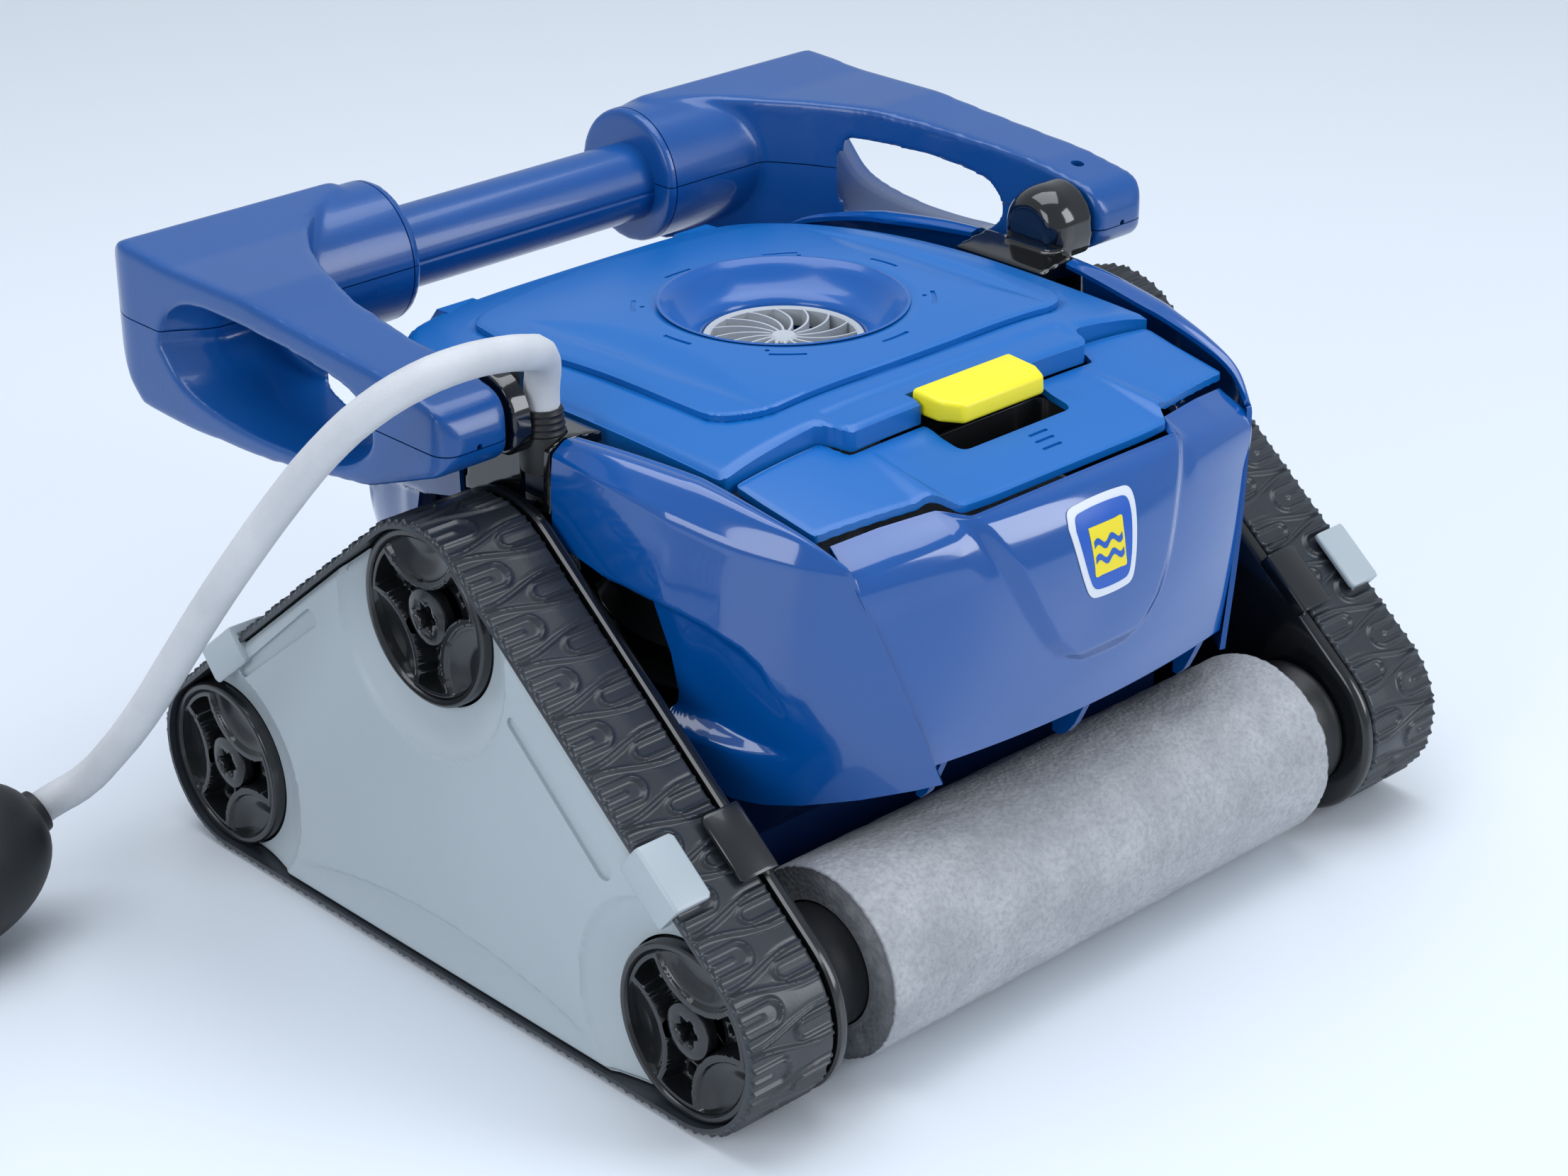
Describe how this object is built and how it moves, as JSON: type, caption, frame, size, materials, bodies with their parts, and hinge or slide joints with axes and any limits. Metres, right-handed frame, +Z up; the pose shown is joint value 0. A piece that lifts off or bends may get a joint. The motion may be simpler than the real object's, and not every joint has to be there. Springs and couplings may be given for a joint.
{
  "type": "robotic pool cleaner",
  "caption": "Tracked pool-floor cleaning robot with sponge rollers, hinged filter lid, swinging float handle and a floating power cable wound beside it.",
  "frame": {"origin": "bottom centre of the robot's box, on the floor, the cable not counted", "axes": "+X to the robot's left as seen from its front, along the axles; -Y to the front; +Z up"},
  "size_m": [1.006, 0.4855, 0.2874],
  "materials": {
    "gloss_blue_plastic": "glossy",
    "dark_blue_plastic": "satin",
    "grey_plastic": "satin",
    "gloss_black_plastic": "glossy",
    "black_rubber": "matte",
    "grey_sponge": "rough, open foam",
    "yellow_plastic": "satin",
    "grey_cable_sheath": "matte",
    "stainless_steel": "brushed",
    "filter_mesh": "matte mesh"
  },
  "bodies": {
    "hull": {"fender_front_left": "gloss_blue_plastic", "fender_front_right": "gloss_blue_plastic", "fender_rear_left": "gloss_blue_plastic", "fender_rear_right": "gloss_blue_plastic", "front_panel": "gloss_blue_plastic", "rear_panel": "gloss_blue_plastic", "front_deck": "gloss_blue_plastic", "hinge_rail": "gloss_blue_plastic", "chassis_tray": "dark_blue_plastic", "body_tub": "dark_blue_plastic", "side_cover_left": "grey_plastic", "side_cover_right": "grey_plastic", "axle_bolt_left_front": "gloss_black_plastic", "axle_bolt_left_rear": "gloss_black_plastic", "axle_bolt_right_front": "gloss_black_plastic", "axle_bolt_right_rear": "gloss_black_plastic", "side_frame_left": "gloss_black_plastic", "side_frame_right": "gloss_black_plastic", "side_grille_left": "gloss_black_plastic", "side_grille_right": "gloss_black_plastic", "pump_motor": "gloss_black_plastic", "traction_motor_left": "gloss_black_plastic", "traction_motor_right": "gloss_black_plastic", "pivot_bracket_left": "gloss_black_plastic", "pivot_bracket_right": "gloss_black_plastic", "connector_plug": "gloss_black_plastic", "track_belt_left": "black_rubber", "track_belt_right": "black_rubber", "cord_gland": "black_rubber", "cable_float": "black_rubber", "cord_lead": "grey_cable_sheath", "cord_run": "grey_cable_sheath", "cord_coil": "grey_cable_sheath", "lid_hinge_pin": "stainless_steel", "pivot_pin_left": "stainless_steel", "pivot_pin_right": "stainless_steel", "filter_basket": "filter_mesh"},
    "lid": {"lid_shell": "gloss_blue_plastic", "lid_panel": "gloss_blue_plastic", "outlet_funnel": "gloss_blue_plastic", "outlet_grille": "grey_plastic"},
    "latch": {"latch_button": "yellow_plastic"},
    "handle": {"arm_upper_left": "gloss_blue_plastic", "arm_upper_right": "gloss_blue_plastic", "arm_lower_left": "gloss_blue_plastic", "arm_lower_right": "gloss_blue_plastic", "grip_tube": "gloss_blue_plastic"},
    "impeller": {"impeller": "grey_plastic"},
    "flap_front": {"intake_flap_front": "black_rubber"},
    "flap_rear": {"intake_flap_rear": "black_rubber"},
    "wheel_left_top": {"wheel_left_top": "gloss_black_plastic"},
    "wheel_left_front": {"wheel_left_front": "gloss_black_plastic"},
    "wheel_left_rear": {"wheel_left_rear": "gloss_black_plastic"},
    "wheel_right_top": {"wheel_right_top": "gloss_black_plastic"},
    "wheel_right_front": {"wheel_right_front": "gloss_black_plastic"},
    "wheel_right_rear": {"wheel_right_rear": "gloss_black_plastic"},
    "roller_front": {"roller_core_front": "gloss_black_plastic", "roller_sponge_front": "grey_sponge"},
    "roller_rear": {"roller_core_rear": "gloss_black_plastic", "roller_sponge_rear": "grey_sponge"}
  },
  "joints": [
    {"name": "handle_swing", "type": "hinge", "parent": "hull", "child": "handle", "pos_m": [0, -0.01875, 0.24], "axis": [1, 0, 0], "range_deg": [0, 80]},
    {"name": "lid_open", "type": "hinge", "parent": "hull", "child": "lid", "pos_m": [0, 0.13075, 0.2125], "axis": [-1, 0, 0], "range_deg": [0, 38]},
    {"name": "latch_press", "type": "hinge", "parent": "lid", "child": "latch", "pos_m": [0, -0.11225, 0.2325], "axis": [1, 0, 0], "range_deg": [0, 12], "stiffness_Nm_per_rad": 0.6},
    {"name": "wheel_left_top_turn", "type": "hinge", "parent": "hull", "child": "wheel_left_top", "pos_m": [-0.1876, -0.01875, 0.165], "axis": [1, 0, 0], "continuous": true},
    {"name": "wheel_left_front_turn", "type": "hinge", "parent": "hull", "child": "wheel_left_front", "pos_m": [-0.1876, -0.16875, 0.042], "axis": [1, 0, 0], "continuous": true},
    {"name": "wheel_left_rear_turn", "type": "hinge", "parent": "hull", "child": "wheel_left_rear", "pos_m": [-0.1876, 0.13125, 0.042], "axis": [1, 0, 0], "continuous": true},
    {"name": "wheel_right_top_turn", "type": "hinge", "parent": "hull", "child": "wheel_right_top", "pos_m": [0.1876, -0.01875, 0.165], "axis": [1, 0, 0], "continuous": true},
    {"name": "wheel_right_front_turn", "type": "hinge", "parent": "hull", "child": "wheel_right_front", "pos_m": [0.1876, -0.16875, 0.042], "axis": [1, 0, 0], "continuous": true},
    {"name": "wheel_right_rear_turn", "type": "hinge", "parent": "hull", "child": "wheel_right_rear", "pos_m": [0.1876, 0.13125, 0.042], "axis": [1, 0, 0], "continuous": true},
    {"name": "roller_front_turn", "type": "hinge", "parent": "hull", "child": "roller_front", "pos_m": [0, -0.16875, 0.042], "axis": [1, 0, 0], "continuous": true},
    {"name": "roller_rear_turn", "type": "hinge", "parent": "hull", "child": "roller_rear", "pos_m": [0, 0.13125, 0.042], "axis": [1, 0, 0], "continuous": true},
    {"name": "impeller_spin", "type": "hinge", "parent": "hull", "child": "impeller", "pos_m": [0, -0.00775, 0.16], "axis": [0, 0, 1], "continuous": true},
    {"name": "flap_front_lift", "type": "hinge", "parent": "hull", "child": "flap_front", "pos_m": [0, -0.06925, 0.0311], "axis": [-1, 0, 0], "range_deg": [0, 65]},
    {"name": "flap_rear_lift", "type": "hinge", "parent": "hull", "child": "flap_rear", "pos_m": [0, 0.03175, 0.0311], "axis": [1, 0, 0], "range_deg": [0, 65]}
  ],
  "couplings": [
    {"joint": "wheel_left_front_turn", "follows": "wheel_left_top_turn", "ratio": 1},
    {"joint": "wheel_left_rear_turn", "follows": "wheel_left_top_turn", "ratio": 1},
    {"joint": "wheel_right_front_turn", "follows": "wheel_right_top_turn", "ratio": 1},
    {"joint": "wheel_right_rear_turn", "follows": "wheel_right_top_turn", "ratio": 1},
    {"joint": "roller_front_turn", "follows": "wheel_left_top_turn", "ratio": 1.5},
    {"joint": "roller_rear_turn", "follows": "wheel_right_top_turn", "ratio": 1.5}
  ]
}
